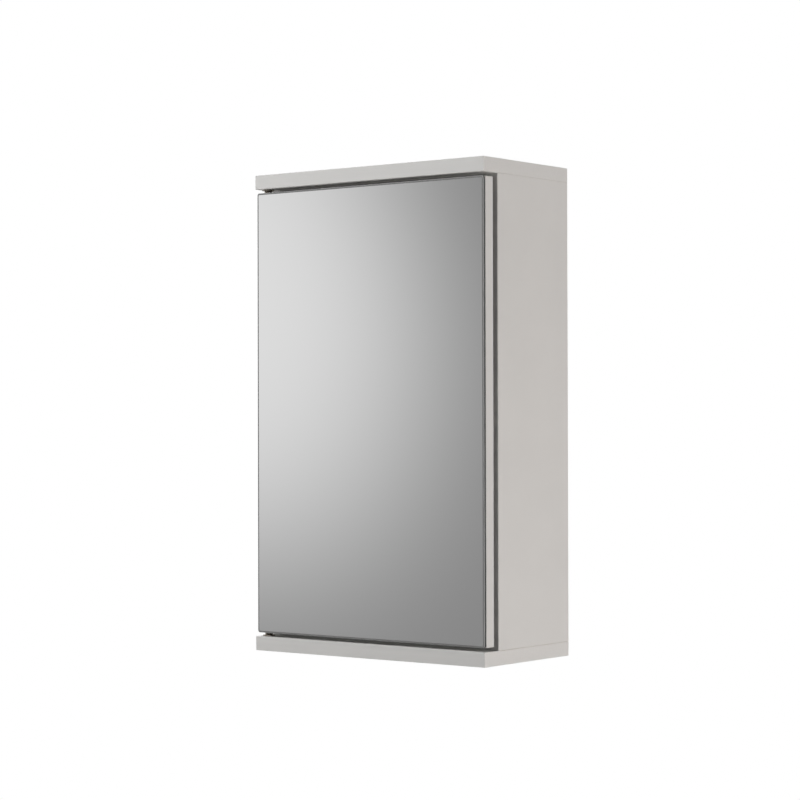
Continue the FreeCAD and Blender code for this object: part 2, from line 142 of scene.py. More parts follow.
def linear(hex_colour):
    """An sRGB hex colour as linear red, green, blue and alpha."""
    parts = [int(hex_colour[i:i + 2], 16) / 255 for i in (1, 3, 5)]
    return tuple(p / 12.92 if p <= 0.04045 else ((p + 0.055) / 1.055) ** 2.4 for p in parts) + (1.0,)


def colour(name, hex_colour, description):
    """A colour that the user can change."""
    return FloatVectorProperty(
        name=name, description=description, subtype="COLOR", size=4, min=0, max=1, default=linear(hex_colour)
    )


def length(name, millimetres, description):
    """A size that the user can change."""
    return FloatProperty(
        name=name, description=description, unit="LENGTH", default=millimetres * MM, precision=5
    )


class CabinetFinishes(bpy.types.PropertyGroup):
    """Colours and texture sizes of the cabinet's materials."""

    board_white: colour("Board white", "#E0DFDD", "Melamine faces of the boards")
    board_shade: colour("Board shade", "#DAD9D7", "Darker patches of the melamine faces")
    board_mottle: length("Board mottle", 55, "Width of the soft patches on a melamine face")
    pearl: length("Pearl", 1.4, "Width of the pearl grain pressed into the melamine")
    edging_white: colour("Edging white", "#E0DFDD", "Plastic edge bands")
    edging_shade: colour("Edging shade", "#DAD9D7", "Darker streaks along the edge bands")
    streak_width: length("Streak width", 3, "Width of the streaks along the edge bands")
    streak_length: length("Streak length", 160, "Length of the streaks along the edge bands")
    chip_pale: colour("Pale chips", "#D8C29E", "Palest wood chips on a raw board edge")
    chip_dark: colour("Dark chips", "#A88B62", "Darkest wood chips on a raw board edge")
    chip: length("Chip", 2.6, "Length of the wood chips on a raw board edge")
    chip_depth: length("Chip depth", 0.9, "Thickness of the wood chips, across the board")
    silver: colour("Silver", "#F1F1F1", "Silvered face of the mirror")
    arris: colour("Arris", "#A6A7A7", "Ground chamfer round the mirror's face")
    arris_grit: length("Arris grit", 0.8, "Width of the grinding marks on the mirror's arris and edge")
    # Painted shade: a grey rim that stands for the dark band the glass's thickness shows near the mirror's edge
    rim_shade: colour("Border", "#7C7C7C", "Unsilvered rim of the mirror, inside the arris")
    border_width: length("Border width", 1.9, "Width of the mirror's unsilvered rim, arris included")
    mirror_corner: length("Mirror corner", 2.5, "Corner radius of the mirror")
    glass_edge: colour("Mirror edge", "#2E3030", "Edge of the mirror glass")
    mirror_paint: colour("Mirror paint", "#74787A", "Protective paint on the mirror's back")
    shelf_clear: colour("Shelf glass", "#F3F9F6", "Faces of the glass shelves")
    shelf_edge: colour("Shelf edge", "#74AB95", "Ground edges of the glass shelves")
    shelf_grit: length("Shelf grit", 0.9, "Width of the grinding marks on the shelves' edges")
    back_white: colour("Back white", "#DAD8D4", "Lacquered face of the hardboard back")
    back_brown: colour("Back brown", "#A37F5A", "Bare rear face of the hardboard back")
    back_fibre: length("Back fibre", 7, "Length of the fibre clumps on the hardboard's rear face")
    back_mottle: length("Back mottle", 60, "Width of the soft patches on the hardboard")
    back_screen: length("Back screen", 2.2, "Spacing of the screen marks on the hardboard's rear face")
    beech_pale: colour("Pale beech", "#D8B489", "Early wood of the dowels")
    beech_dark: colour("Dark beech", "#B98C5C", "Late wood of the dowels")
    fleck_width: length("Fleck width", 0.9, "Width of the flecks in the beech")
    fleck_length: length("Fleck length", 9, "Length of the flecks in the beech")
    nickel: colour("Nickel", "#C9C5BD", "Nickel plate of the shelf supports")
    zinc: colour("Zinc", "#C2C6CB", "Zinc plate of the screws, poles and strike plate")
    # Painted reflection: the warm brown tint stands for the surroundings that the pins show, not the steel's
    # own colour
    turned_steel: colour("Turned steel", "#A89F94", "Bright turned steel of the pivot pins")
    turned_feed: length("Turned feed", 0.3, "Spacing of the tool's rings on the pivot pins")
    turned_stain: length("Turned stain", 2.5, "Width of the darker stains on the pivot pins")
    catch_white: colour("Catch white", "#E2E0DC", "Moulded housing of the catch")
    ferrite: colour("Ferrite", "#2C2C2E", "Magnet of the catch")
    ferrite_grain: length("Ferrite grain", 0.7, "Width of the grain of the fired powder")
    nylon: colour("Nylon", "#DCD8CB", "Bushes in the door's ends")
    flow: length("Flow", 14, "Width of the faint flow patches in moulded plastic")
    pad: colour("Pad", "#E6E8E6", "Clear pads under the shelves")
    pad_haze: length("Pad haze", 3, "Width of the milky patches in the pads")
    tape: colour("Tape", "#D5D3CE", "Tape that holds the mirror")
    tape_cell: length("Tape cell", 0.6, "Width of the cells in the tape's foam")


class CabinetHardware(bpy.types.PropertyGroup):
    """Sizes of the hardware's fine shapes."""

    moulded_round: length("Moulded round", 0.6, "Radius on the catch housing's edges")
    turned_round: length("Turned round", 0.35, "Radius on the rims of the pivot pins")
    flange_width: length("Flange width", 13.0, "Diameter of the flange that seats a pivot pin on its panel")
    flange_depth: length("Flange depth", 1.1, "Thickness of a pivot pin's flange")
    bush_round: length("Bush round", 0.2, "Radius on the rims of the nylon bushes")
    sheet_round: length("Sheet round", 0.2, "Radius on the edges of pressed sheet")
    support_sheet: length("Support sheet", 1.5, "Thickness of the shelf supports' sheet")
    support_bend: length("Support bend", 0.6, "Inside radius of the shelf supports' bend")
    support_corner: length("Support corner", 2.0, "Corner radius of the shelf supports' lip and plate")
    support_rise: length("Support rise", 3.0, "Top of a shelf support above its stud's axis")
    stud_width: length("Stud width", 5.0, "Diameter of the shelf supports' studs")
    stud_bevel: length("Stud bevel", 0.5, "Bevel on the end of a stud")
    pad_round: length("Pad round", 0.35, "Radius on the edges of the soft pads")
    screw_width: length("Screw width", 3.0, "Outside diameter of the wood screws' thread")
    screw_point: length("Screw point", 4.5, "Length of the wood screws' points")
    pan_height: length("Pan head", 2.2, "Height of a pan head")
    thread_pitch: length("Thread pitch", 1.25, "Pitch of the wood-screw thread")
    thread_depth: length("Thread depth", 0.35, "Depth of the wood-screw thread")
    recess_width: length("Recess width", 3.4, "Width across the screws' cross recess")
    recess_slot: length("Recess slot", 0.75, "Width of one arm of the cross recess")
    recess_depth: length("Recess depth", 1.3, "Depth of the cross recess")
    round_steps: IntProperty(
        name="Round steps", description="Faces across each rounded edge", default=3, min=1
    )
    turned_steps: IntProperty(
        name="Turned steps", description="Faces round each turned piece", default=48, min=12
    )


class CabinetStage(bpy.types.PropertyGroup):
    """Camera, lamps, floor and the card that shows in the mirror."""

    camera_place: FloatVectorProperty(
        name="Camera place", description="Where the camera stands", subtype="TRANSLATION", unit="LENGTH",
        default=(1.4847, -2.0118, -0.2171),
    )
    camera_turn: FloatVectorProperty(
        name="Camera turn", description="The camera's rotation", subtype="EULER", unit="ROTATION",
        default=(math.radians(90.517), math.radians(0.132), math.radians(37.703)),
    )
    lens: FloatProperty(name="Lens", description="Focal length in millimetres", default=104.33, min=1)
    key_power: FloatProperty(name="Key", description="Softbox at the front left", unit="POWER", default=23.1)
    fill_power: FloatProperty(name="Fill", description="Softbox at the right", unit="POWER", default=22.9)
    left_power: FloatProperty(name="Left", description="Softbox at the left", unit="POWER", default=9.7)
    top_power: FloatProperty(name="Top", description="Softbox overhead", unit="POWER", default=6.5)
    rear_power: FloatProperty(name="Rear", description="Softbox at the rear left", unit="POWER", default=29)
    inside_power: FloatProperty(name="Inside", description="Faint light inside", unit="POWER", default=0.055)
    fill_tint: colour("Fill tint", "#FFFAF7", "Colour of the softbox at the right")
    ambient: FloatProperty(name="Ambient", description="Even light from all round", default=0.035, min=0)
    floor_drop: length("Floor drop", 620, "Floor below the cabinet")
    floor_pale: colour("Floor", "#ECEBE9", "Floor near the cabinet")
    floor_scuff: length("Floor scuff", 330, "Width of the duller patches of the floor")
    floor_lift: FloatProperty(
        name="Floor lift", description="Share of white in the floor near the cabinet",
        default=0.5, min=0, max=1,
    )
    floor_fade_start: length("Fade start", 1000, "Where the floor starts to fade to white")
    floor_fade_end: length("Fade end", 2600, "Where the floor is white")
    card_distance: length("Card distance", 2600, "From the mirror to the card that shows in it")
    card_bright: colour("Card bright", "#EAEAEA", "Lit end of the card")
    card_dark: colour("Card dark", "#8E8E8E", "Far end of the card")


def feed(tree, node, inputs):
    """Set a node's inputs, each to a value, a socket or another node's first output."""
    for name, value in inputs.items():
        if isinstance(value, bpy.types.Node):
            value = value.outputs[0]
        if isinstance(value, bpy.types.NodeSocket):
            tree.links.new(value, node.inputs[name])
        else:
            node.inputs[name].default_value = value


def add(tree, kind, inputs=(), **settings):
    """Add a node with its settings and links."""
    node = tree.nodes.new(kind)
    for name, value in settings.items():
        setattr(node, name, value)
    feed(tree, node, dict(inputs))
    return node


def new_finish(name):
    """A new material with its node tree, its surface shader and its texture coordinates."""
    material = bpy.data.materials.new(name)
    material.use_nodes = True
    tree = material.node_tree
    return material, tree, tree.nodes["Principled BSDF"], add(tree, "ShaderNodeTexCoord").outputs


def melamine_faced_chipboard(finishes, thickness_axis):
    """Chipboard with pressed white melamine faces and raw edges."""
    # The press plate leaves a fine pearl grain, so the face is an even white with a soft, broken shine.
    # The grain is drawn at about three times its real width, to show at arm's length.
    # A raw edge shows flat chips of several browns, lying along the board, dull and rough.
    material, tree, shader, place = new_finish(f"Pressed melamine on chipboard {thickness_axis}")
    at = place["Object"]
    facing = add(tree, "ShaderNodeSeparateXYZ", {0: place["Normal"]})
    flatness = add(tree, "ShaderNodeMath", {0: facing.outputs[thickness_axis]}, operation="ABSOLUTE")
    raw = add(tree, "ShaderNodeMath", {0: flatness, 1: MOSTLY_ON}, operation="LESS_THAN")
    mottle = add(tree, "ShaderNodeTexNoise", {"Vector": at, "Scale": 1 / finishes.board_mottle, "Detail": 4})
    pearl = add(tree, "ShaderNodeTexNoise", {"Vector": at, "Scale": 1 / finishes.pearl, "Detail": 1})
    flake = [1 / finishes.chip] * 3
    flake["XYZ".index(thickness_axis)] = 1 / finishes.chip_depth
    lying = add(tree, "ShaderNodeVectorMath", {0: at, 1: flake}, operation="MULTIPLY")
    chips = add(tree, "ShaderNodeTexVoronoi", {"Vector": lying, "Scale": 1})
    chip_tone = add(tree, "ShaderNodeSeparateXYZ", {0: chips.outputs["Color"]})
    white = add(
        tree, "ShaderNodeMix",
        {0: mottle, MIX_A: finishes.board_shade, MIX_B: finishes.board_white}, data_type="RGBA",
    )
    wood = add(
        tree, "ShaderNodeMix",
        {0: chip_tone, MIX_A: finishes.chip_dark, MIX_B: finishes.chip_pale}, data_type="RGBA",
    )
    body = add(
        tree, "ShaderNodeMix",
        {0: raw, MIX_A: white.outputs[MIX_RESULT], MIX_B: wood.outputs[MIX_RESULT]}, data_type="RGBA",
    )
    dullness = add(tree, "ShaderNodeMapRange", {"Value": raw, "To Min": 0.40, "To Max": 0.88})
    broken = add(tree, "ShaderNodeMath", {0: pearl, 1: 0.12, 2: dullness}, operation="MULTIPLY_ADD")
    grain = add(tree, "ShaderNodeBump", {"Height": pearl, "Distance": 0.02 * MM, "Strength": 0.5})
    relief = add(tree, "ShaderNodeMath", {0: chips, 1: raw}, operation="MULTIPLY")
    rough_edge = add(tree, "ShaderNodeBump", {"Height": relief, "Distance": 0.4 * MM, "Normal": grain})
    feed(
        tree, shader,
        {"Base Color": body.outputs[MIX_RESULT], "Roughness": broken, "Normal": rough_edge, "IOR": 1.5},
    )
    return material


def abs_edge_band(finishes, along_axis):
    """Extruded ABS edge band, trimmed and buffed."""
    # Extruding draws faint streaks along the band, and buffing leaves it a little shinier than the board.
    material, tree, shader, place = new_finish(f"Extruded ABS edge band {along_axis}")
    streak = [1 / finishes.streak_width] * 3
    streak["XYZ".index(along_axis)] = 1 / finishes.streak_length
    stretched = add(tree, "ShaderNodeVectorMath", {0: place["Object"], 1: streak}, operation="MULTIPLY")
    streaks = add(tree, "ShaderNodeTexNoise", {"Vector": stretched, "Scale": 1, "Detail": 3})
    white = add(
        tree, "ShaderNodeMix",
        {0: streaks, MIX_A: finishes.edging_shade, MIX_B: finishes.edging_white}, data_type="RGBA",
    )
    shine = add(tree, "ShaderNodeMapRange", {"Value": streaks, "To Min": 0.30, "To Max": 0.42})
    lines = add(tree, "ShaderNodeBump", {"Height": streaks, "Distance": 0.02 * MM, "Strength": 0.5})
    feed(
        tree, shader,
        {"Base Color": white.outputs[MIX_RESULT], "Roughness": shine, "Normal": lines, "IOR": 1.53},
    )
    return material


def silvered_mirror(finishes):
    """Float glass silvered on its back, with a ground arris and cut edges."""
    # The silver gives a clear image. A thin grey line round it is painted shade, for the dark band at the
    # glass's edge.
    # The ground arris scatters light, the cut edge looks into the dark thickness of the glass,
    # and the back is paint.
    material, tree, shader, place = new_finish("Silvered float glass, ground arris")
    low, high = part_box("mirror_glass")
    corner = finishes.mirror_corner
    # A metre is added in Y, so that only the width and the height count
    straight = (high - low) / 2 - Vector((corner, -1, corner))
    from_middle = add(
        tree, "ShaderNodeVectorMath", {0: place["Object"], 1: (low + high) / 2}, operation="SUBTRACT"
    )
    each_way = add(tree, "ShaderNodeVectorMath", {0: from_middle}, operation="ABSOLUTE")
    beyond = add(tree, "ShaderNodeVectorMath", {0: each_way, 1: straight}, operation="SUBTRACT")
    outward = add(tree, "ShaderNodeVectorMath", {0: beyond, 1: (0, 0, 0)}, operation="MAXIMUM")
    reach = add(tree, "ShaderNodeVectorMath", {0: outward}, operation="LENGTH")
    # Beyond this reach the face shows the grey rim of painted shade in place of the silver
    rim_shade_from = corner - finishes.border_width
    rim = add(tree, "ShaderNodeMath", {0: reach.outputs["Value"], 1: rim_shade_from}, operation="GREATER_THAN")
    facing = add(tree, "ShaderNodeSeparateXYZ", {0: place["Normal"]})
    toward_front = add(tree, "ShaderNodeMath", {0: facing.outputs["Y"], 1: -1}, operation="MULTIPLY")
    face = add(tree, "ShaderNodeMath", {0: toward_front, 1: SQUARE_ON}, operation="GREATER_THAN")
    slanted = add(tree, "ShaderNodeMath", {0: toward_front, 1: ASLANT}, operation="GREATER_THAN")
    back = add(tree, "ShaderNodeMath", {0: toward_front, 1: -SQUARE_ON}, operation="LESS_THAN")
    silvered = add(tree, "ShaderNodeMath", {0: face, 1: rim}, operation="SUBTRACT", use_clamp=True)
    edge = add(
        tree, "ShaderNodeMix",
        {0: slanted, MIX_A: finishes.glass_edge, MIX_B: finishes.arris}, data_type="RGBA",
    )
    painted = add(
        tree, "ShaderNodeMix",
        {0: back, MIX_A: edge.outputs[MIX_RESULT], MIX_B: finishes.mirror_paint}, data_type="RGBA",
    )
    # The painted-shade rim on the face, and the arris, cut edge and back paint elsewhere
    rim_shade_edges_and_back = add(
        tree, "ShaderNodeMix",
        {0: face, MIX_A: painted.outputs[MIX_RESULT], MIX_B: finishes.rim_shade}, data_type="RGBA",
    )
    tone = add(
        tree, "ShaderNodeMix",
        {0: silvered, MIX_A: rim_shade_edges_and_back.outputs[MIX_RESULT], MIX_B: finishes.silver}, data_type="RGBA",
    )
    grit = add(
        tree, "ShaderNodeTexNoise",
        {"Vector": place["Object"], "Scale": 1 / finishes.arris_grit, "Detail": 2},
    )
    ground = add(tree, "ShaderNodeMapRange", {"Value": grit, "To Min": 0.22, "To Max": 0.42})
    # All but the silvered face, the painted-shade rim included, takes the ground roughness
    ground_and_rim_shade = add(tree, "ShaderNodeMath", {0: 1, 1: silvered}, operation="SUBTRACT")
    roughness = add(tree, "ShaderNodeMath", {0: ground, 1: ground_and_rim_shade, 2: 0.008}, operation="MULTIPLY_ADD")
    feed(tree, shader, {"Base Color": tone.outputs[MIX_RESULT], "Metallic": silvered, "Roughness": roughness})
    return material


def float_glass_shelf(finishes):
    """Clear float glass with ground edges."""
    # The faces are clear with a sharp reflection. Light that runs inside the sheet comes out green
    # at the edges.
    material, tree, shader, place = new_finish("Clear float glass, ground edges")
    facing = add(tree, "ShaderNodeSeparateXYZ", {0: place["Normal"]})
    upright = add(tree, "ShaderNodeMath", {0: facing.outputs["Z"]}, operation="ABSOLUTE")
    edge = add(tree, "ShaderNodeMath", {0: upright, 1: SQUARE_ON}, operation="LESS_THAN")
    grit = add(
        tree, "ShaderNodeTexNoise",
        {"Vector": place["Object"], "Scale": 1 / finishes.shelf_grit, "Detail": 2},
    )
    tone = add(
        tree, "ShaderNodeMix",
        {0: edge, MIX_A: finishes.shelf_clear, MIX_B: finishes.shelf_edge}, data_type="RGBA",
    )
    ground = add(tree, "ShaderNodeMapRange", {"Value": grit, "To Min": 0.25, "To Max": 0.40})
    roughness = add(tree, "ShaderNodeMath", {0: ground, 1: edge, 2: 0.005}, operation="MULTIPLY_ADD")
    clearness = add(tree, "ShaderNodeMapRange", {"Value": edge, "To Min": 1, "To Max": 0.45})
    feed(
        tree, shader,
        {
            "Base Color": tone.outputs[MIX_RESULT], "Roughness": roughness, "Transmission Weight": clearness,
            "IOR": 1.52,
        },
    )
    # Lamps shine through the sheet, tinted a little, so what stands under a shelf is lit.
    clear = add(tree, "ShaderNodeBsdfTransparent", {"Color": finishes.shelf_clear})
    ray = add(tree, "ShaderNodeLightPath")
    lit = add(tree, "ShaderNodeMixShader", {0: ray.outputs["Is Shadow Ray"], 1: shader, 2: clear})
    feed(tree, tree.nodes["Material Output"], {"Surface": lit})
    return material


def lacquered_hardboard(finishes):
    """Wet-process hardboard, white lacquer in front and bare screen marks behind."""
    # The front is a smooth thin white. The rear is brown fibre with the mesh print of the press screen,
    # drawn at about twice its real spacing so that it shows.
    material, tree, shader, place = new_finish("Hardboard, lacquered front and screen back")
    at = place["Object"]
    facing = add(tree, "ShaderNodeSeparateXYZ", {0: place["Normal"]})
    front = add(tree, "ShaderNodeMath", {0: facing.outputs["Y"], 1: -MOSTLY_ON}, operation="LESS_THAN")
    fibre = add(
        tree, "ShaderNodeTexNoise",
        {"Vector": at, "Scale": 1 / finishes.back_fibre, "Detail": 6, "Roughness": 0.7},
    )
    mottle = add(tree, "ShaderNodeTexNoise", {"Vector": at, "Scale": 1 / finishes.back_mottle, "Detail": 3})
    radians_per_metre = 2 * math.pi / finishes.back_screen
    angle = add(tree, "ShaderNodeVectorMath", {0: at, 1: [radians_per_metre] * 3}, operation="MULTIPLY")
    waves = add(tree, "ShaderNodeVectorMath", {0: angle}, operation="SINE")
    wave = add(tree, "ShaderNodeSeparateXYZ", {0: waves})
    mesh = add(tree, "ShaderNodeMath", {0: wave.outputs["X"], 1: wave.outputs["Z"]}, operation="MULTIPLY")
    blotch = add(tree, "ShaderNodeMath", {0: fibre, 1: mottle}, operation="MULTIPLY")
    strands = add(tree, "ShaderNodeMapRange", {"Value": blotch, "From Min": 0.14, "From Max": 0.38})
    speck = add(tree, "ShaderNodeMath", {0: mesh, 1: 0.18, 2: strands}, operation="MULTIPLY_ADD")
    dark = add(tree, "ShaderNodeHueSaturation", {"Value": 0.66, "Color": finishes.back_brown})
    brown = add(
        tree, "ShaderNodeMix",
        {0: speck, MIX_A: dark, MIX_B: finishes.back_brown}, data_type="RGBA", clamp_factor=True,
    )
    white = add(
        tree, "ShaderNodeMix",
        {0: mottle, MIX_A: finishes.board_shade, MIX_B: finishes.back_white}, data_type="RGBA",
    )
    tone = add(
        tree, "ShaderNodeMix",
        {0: front, MIX_A: brown.outputs[MIX_RESULT], MIX_B: white.outputs[MIX_RESULT]}, data_type="RGBA",
    )
    roughness = add(tree, "ShaderNodeMapRange", {"Value": front, "To Min": 0.85, "To Max": 0.45})
    behind = add(tree, "ShaderNodeMath", {0: 1, 1: front}, operation="SUBTRACT")
    print_height = add(tree, "ShaderNodeMath", {0: speck, 1: behind}, operation="MULTIPLY")
    marks = add(tree, "ShaderNodeBump", {"Height": print_height, "Distance": 0.25 * MM})
    feed(tree, shader, {"Base Color": tone.outputs[MIX_RESULT], "Roughness": roughness, "Normal": marks})
    return material


def turned_beech(finishes, along_axis):
    """Fluted beech dowel."""
    # Beech is pinkish tan, with short dark flecks along the grain.
    material, tree, shader, place = new_finish(f"Turned beech {along_axis}")
    grain = [1 / finishes.fleck_width] * 3
    grain["XYZ".index(along_axis)] = 1 / finishes.fleck_length
    stretched = add(tree, "ShaderNodeVectorMath", {0: place["Object"], 1: grain}, operation="MULTIPLY")
    fleck = add(tree, "ShaderNodeTexNoise", {"Vector": stretched, "Scale": 1, "Detail": 4})
    tone = add(
        tree, "ShaderNodeMix",
        {0: fleck, MIX_A: finishes.beech_dark, MIX_B: finishes.beech_pale}, data_type="RGBA",
    )
    ridges = add(tree, "ShaderNodeBump", {"Height": fleck, "Distance": 0.1 * MM})
    feed(tree, shader, {"Base Color": tone.outputs[MIX_RESULT], "Roughness": 0.62, "Normal": ridges})
    return material


def plated_steel(name, tone, shine, grain):
    """Steel sheet or wire under a thin metal plate."""
    # Plate follows the rolled sheet, so its shine is clouded by fine, uneven grain.
    material, tree, shader, place = new_finish(name)
    cloud = add(tree, "ShaderNodeTexNoise", {"Vector": place["Object"], "Scale": 1 / grain, "Detail": 5})
    dim = add(tree, "ShaderNodeHueSaturation", {"Value": 0.86, "Color": tone})
    shade = add(tree, "ShaderNodeMix", {0: cloud, MIX_A: dim, MIX_B: tone}, data_type="RGBA")
    smooth, dull = shine
    roughness = add(tree, "ShaderNodeMapRange", {"Value": cloud, "To Min": smooth, "To Max": dull})
    feed(tree, shader, {"Base Color": shade.outputs[MIX_RESULT], "Metallic": 1, "Roughness": roughness})
    return material


def bright_turned_steel(finishes):
    """Free-cutting steel turned on a lathe and left bright."""
    # The tool leaves fine rings round the pin, so its shine is drawn out into a streak along the axis.
    # The rings are drawn at twice their real spacing, so that they show.
    material, tree, shader, place = new_finish("Bright turned steel")
    at = place["Object"]
    radians_per_metre = 2 * math.pi / (2 * finishes.turned_feed)
    rings = add(
        tree, "ShaderNodeTexWave",
        {"Vector": at, "Scale": radians_per_metre / WAVE_RADIANS, "Distortion": 0.6, "Detail": 1},
        bands_direction="Z",
    )
    stain = add(tree, "ShaderNodeTexNoise", {"Vector": at, "Scale": 1 / finishes.turned_stain, "Detail": 3})
    # The steel's warm brown tint is painted reflection of the surroundings
    dim = add(tree, "ShaderNodeHueSaturation", {"Value": 0.7, "Color": finishes.turned_steel})
    tone = add(tree, "ShaderNodeMix", {0: stain, MIX_A: dim, MIX_B: finishes.turned_steel}, data_type="RGBA")
    grooves = add(tree, "ShaderNodeBump", {"Height": rings, "Distance": 0.03 * MM})
    feed(
        tree, shader,
        {"Base Color": tone.outputs[MIX_RESULT], "Metallic": 1, "Roughness": 0.24, "Normal": grooves},
    )
    return material


def moulded_plastic(name, tone, finishes, roughness, softness, grain):
    """Moulded plastic with the fine grain of a spark-eroded tool."""
    # The tool's grain breaks the shine, and light goes a little way in, which softens the shade
    # on small pieces.
    material, tree, shader, place = new_finish(name)
    at = place["Object"]
    texture = add(tree, "ShaderNodeTexNoise", {"Vector": at, "Scale": 1 / grain, "Detail": 2})
    flow = add(tree, "ShaderNodeTexNoise", {"Vector": at, "Scale": 1 / finishes.flow, "Detail": 2})
    dim = add(tree, "ShaderNodeHueSaturation", {"Value": 0.94, "Color": tone})
    shade = add(tree, "ShaderNodeMix", {0: flow, MIX_A: dim, MIX_B: tone}, data_type="RGBA")
    shine = add(tree, "ShaderNodeMath", {0: texture, 1: 0.12, 2: roughness}, operation="MULTIPLY_ADD")
    bumps = add(tree, "ShaderNodeBump", {"Height": texture, "Distance": 0.04 * MM})
    feed(
        tree, shader,
        {
            "Base Color": shade.outputs[MIX_RESULT], "Roughness": shine, "Normal": bumps,
            "Subsurface Weight": softness, "Subsurface Scale": 0.8 * MM,
        },
    )
    return material


def clear_soft_pvc(finishes):
    """Clear soft PVC bumper, die-cut from sheet."""
    # Half clear and slightly milky, with a wet-looking top.
    material, tree, shader, place = new_finish("Clear soft PVC")
    haze = add(
        tree, "ShaderNodeTexNoise",
        {"Vector": place["Object"], "Scale": 1 / finishes.pad_haze, "Detail": 2},
    )
    shine = add(tree, "ShaderNodeMapRange", {"Value": haze, "To Min": 0.18, "To Max": 0.34})
    feed(
        tree, shader,
        {"Base Color": finishes.pad, "Roughness": shine, "Transmission Weight": 0.6, "IOR": 1.53},
    )
    return material


def sintered_ferrite(finishes):
    """Pressed and sintered ferrite block."""
    # Near black and matt, with a fine grey grain from the fired powder.
    material, tree, shader, place = new_finish("Sintered ferrite")
    grain = add(
        tree, "ShaderNodeTexNoise",
        {"Vector": place["Object"], "Scale": 1 / finishes.ferrite_grain, "Detail": 3},
    )
    lighter = add(tree, "ShaderNodeHueSaturation", {"Value": 2.2, "Color": finishes.ferrite})
    tone = add(tree, "ShaderNodeMix", {0: grain, MIX_A: finishes.ferrite, MIX_B: lighter}, data_type="RGBA")
    pits = add(tree, "ShaderNodeBump", {"Height": grain, "Distance": 0.1 * MM})
    feed(tree, shader, {"Base Color": tone.outputs[MIX_RESULT], "Roughness": 0.7, "Normal": pits})
    return material


def foam_tape(finishes):
    """Double-sided foam tape."""
    # A dull off-white with the small pits of closed foam cells along its cut sides.
    material, tree, shader, place = new_finish("Closed-cell foam tape")
    cells = add(tree, "ShaderNodeTexVoronoi", {"Vector": place["Object"], "Scale": 1 / finishes.tape_cell})
    dim = add(tree, "ShaderNodeHueSaturation", {"Value": 0.82, "Color": finishes.tape})
    tone = add(tree, "ShaderNodeMix", {0: cells, MIX_A: dim, MIX_B: finishes.tape}, data_type="RGBA")
    pits = add(tree, "ShaderNodeBump", {"Height": cells, "Distance": 0.15 * MM})
    feed(tree, shader, {"Base Color": tone.outputs[MIX_RESULT], "Roughness": 0.9, "Normal": pits})
    return material


def finish_nodes(material, *names):
    """Give CAD pieces a finish."""
    for name in names:
        for slot in NODES[name].material_slots:
            slot.material = material


def place_piece(name, shape, material, body, node):
    """Make a mesh from a bmesh, as a piece that rides on a body and stands for a CAD node."""
    bmesh.ops.recalc_face_normals(shape, faces=shape.faces)
    mesh = bpy.data.meshes.new(name)
    shape.to_mesh(mesh)
    shape.free()
    mesh.polygons.foreach_set("use_smooth", [True] * len(mesh.polygons))
    mesh.set_sharp_from_angle(angle=SHARP)
    mesh.materials.append(material)
    piece = bpy.data.objects.new(name, mesh)
    bpy.context.scene.collection.objects.link(piece)
    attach(piece, body)
    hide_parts(node)


def round_edges(shape, radius, steps):
    """Round the sharp edges of a shape."""
    bmesh.ops.recalc_face_normals(shape, faces=shape.faces)
    sharp = [edge for edge in shape.edges if edge.is_manifold and edge.calc_face_angle() > SHARP]
    bmesh.ops.bevel(
        shape, geom=sharp, offset=radius, offset_type="OFFSET", segments=steps, profile=0.5, affect="EDGES",
        clamp_overlap=True,
    )


def rounded_shape(node, radius, steps):
    """A CAD piece's shape with its sharp edges rounded."""
    shape = bmesh.new()
    shape.from_mesh(NODES[node].data)
    bmesh.ops.remove_doubles(shape, verts=shape.verts, dist=SPECK)
    bmesh.ops.dissolve_limit(shape, angle_limit=FLAT, verts=shape.verts, edges=shape.edges)
    round_edges(shape, radius, steps)
    return shape


def turn(shape, place, rows, columns, pitch=1.0):
    """Add a turned solid from rows of (distance along Z, radius, thread depth). A radius of 0 is a pole."""
    rings = []
    for along, radius, depth in rows:
        if radius == 0:
            rings.append([shape.verts.new(place @ Vector((0, 0, along)))])
            continue
        ring = []
        for i in range(columns):
            angle = 2 * math.pi * i / columns
            phase = (along / pitch - i / columns) % 1
            r = radius - depth * abs(2 * phase - 1)
            ring.append(shape.verts.new(place @ Vector((r * math.cos(angle), r * math.sin(angle), along))))
        rings.append(ring)
    for low, high in zip(rings, rings[1:]):
        for i in range(columns):
            j = (i + 1) % columns
            corners = [low[i % len(low)], low[j % len(low)], high[j % len(high)], high[i % len(high)]]
            shape.faces.new(dict.fromkeys(corners))


def combined(shape, other, operation):
    """Two shapes as one, by a Boolean union or difference."""
    objects = []
    for part in (shape, other):
        bmesh.ops.recalc_face_normals(part, faces=part.faces)
        mesh = bpy.data.meshes.new("combined")
        part.to_mesh(mesh)
        part.free()
        objects.append(bpy.data.objects.new("combined", mesh))
        bpy.context.scene.collection.objects.link(objects[-1])
    first, second = objects
    boolean = first.modifiers.new("combined", "BOOLEAN")
    boolean.operation = operation
    boolean.solver = "EXACT"
    boolean.object = second
    result = bmesh.new()
    result.from_object(first, bpy.context.evaluated_depsgraph_get())
    bmesh.ops.remove_doubles(result, verts=result.verts, dist=SPECK)
    bmesh.ops.dissolve_degenerate(result, edges=result.edges, dist=SPECK)
    for spare in objects:
        bpy.data.meshes.remove(spare.data)
    return result


def solid_boxes(node):
    """The lowest and highest corners of each separate solid of a CAD piece."""
    shape = bmesh.new()
    shape.from_mesh(NODES[node].data)
    bmesh.ops.remove_doubles(shape, verts=shape.verts, dist=SPECK)
    boxes = []
    for start in shape.verts:
        if start.tag:
            continue
        start.tag = True
        solid = [start]
        for vert in solid:
            for edge in vert.link_edges:
                near = edge.other_vert(vert)
                if not near.tag:
                    near.tag = True
                    solid.append(near)
        corners = [vert.co for vert in solid]
        boxes.append(tuple(Vector(map(pick, zip(*corners))) for pick in (min, max)))
    shape.free()
    return boxes


